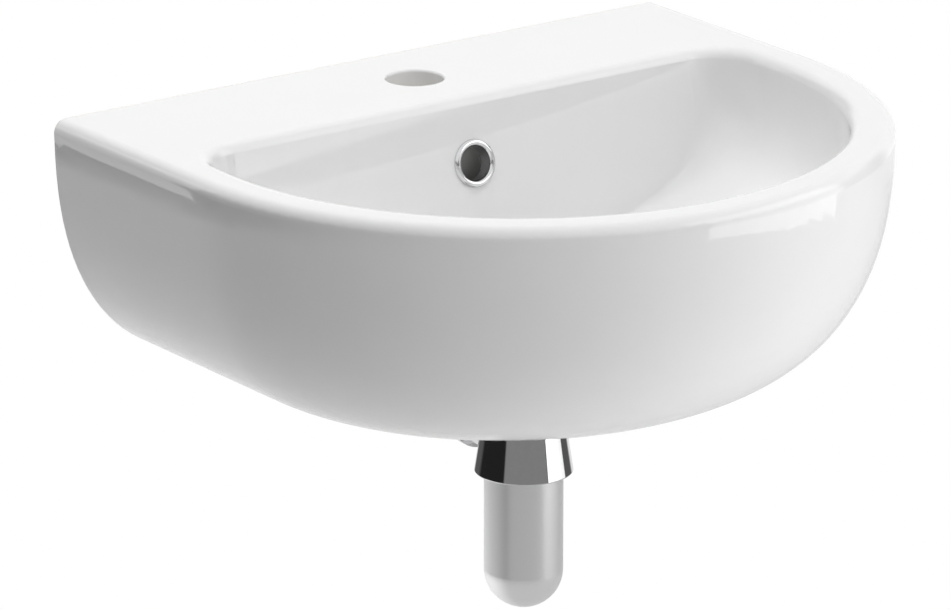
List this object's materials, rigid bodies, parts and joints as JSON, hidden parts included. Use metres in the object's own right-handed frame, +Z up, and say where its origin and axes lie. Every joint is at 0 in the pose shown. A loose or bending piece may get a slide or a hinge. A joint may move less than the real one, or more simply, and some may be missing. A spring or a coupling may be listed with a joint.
{
  "type": "wall-hung cloakroom basin",
  "caption": "Wall-hung D-shaped cloakroom basin of glazed china with tap hole, overflow ring, press-plug waste and chrome bottle trap with wall outlet.",
  "frame": {"origin": "on the wall plane, midway between the two wall fixing holes", "axes": "+X to the right for a person facing the basin, +Y into the wall, +Z up"},
  "size_m": [0.45, 0.413, 0.3051],
  "materials": {
    "vitreous_china": "gloss",
    "chrome_plate": "polished",
    "satin_chrome": "satin",
    "bare_brass": "satin",
    "black_rubber": "matte",
    "white_plastic": "matte",
    "spring_steel": "satin"
  },
  "bodies": {
    "basin_set": {"basin": "vitreous_china", "overflow_ring": "chrome_plate", "waste_body": "chrome_plate", "waste_top_seal": "black_rubber", "waste_under_washer": "black_rubber", "waste_slip_washer": "white_plastic", "waste_backnut": "bare_brass", "click_cartridge": "bare_brass", "plug_spring": "spring_steel", "inlet_washer": "black_rubber", "inlet_nut": "chrome_plate", "inlet_tube": "chrome_plate", "head_o_ring": "black_rubber", "trap_head": "chrome_plate", "outlet_seal": "black_rubber", "outlet_slip_ring": "white_plastic", "outlet_nut": "chrome_plate", "outlet_pipe": "chrome_plate"},
    "plug": {"plug_cap": "chrome_plate", "plug_seal": "black_rubber", "plug_stem": "bare_brass"},
    "bottle_carrier": {"bottle_seal": "black_rubber"},
    "bottle_cup": {"bottle": "satin_chrome"},
    "wall_cover": {"wall_flange": "chrome_plate", "flange_grip_ring": "black_rubber"}
  },
  "joints": [
    {"name": "plug_press", "type": "slide", "parent": "basin_set", "child": "plug", "axis": [0, 0, -1], "range_m": [0, 0.006], "stiffness_N_per_m": 400, "springref_m": -0.012, "deforming": ["plug_spring"]},
    {"name": "bottle_drop", "type": "slide", "parent": "basin_set", "child": "bottle_carrier", "axis": [0, 0, -1], "range_m": [0, 0.006]},
    {"name": "bottle_turn", "type": "hinge", "parent": "bottle_carrier", "child": "bottle_cup", "pos_m": [0, -0.1625, -0.19], "axis": [0, 0, -1], "range_deg": [0, 1081]},
    {"name": "flange_slide", "type": "slide", "parent": "basin_set", "child": "wall_cover", "axis": [0, -1, 0], "range_m": [0, 0.06]}
  ],
  "couplings": [
    {"joint": "bottle_turn", "follows": "bottle_drop", "rad_per_m": 3141.6}
  ]
}
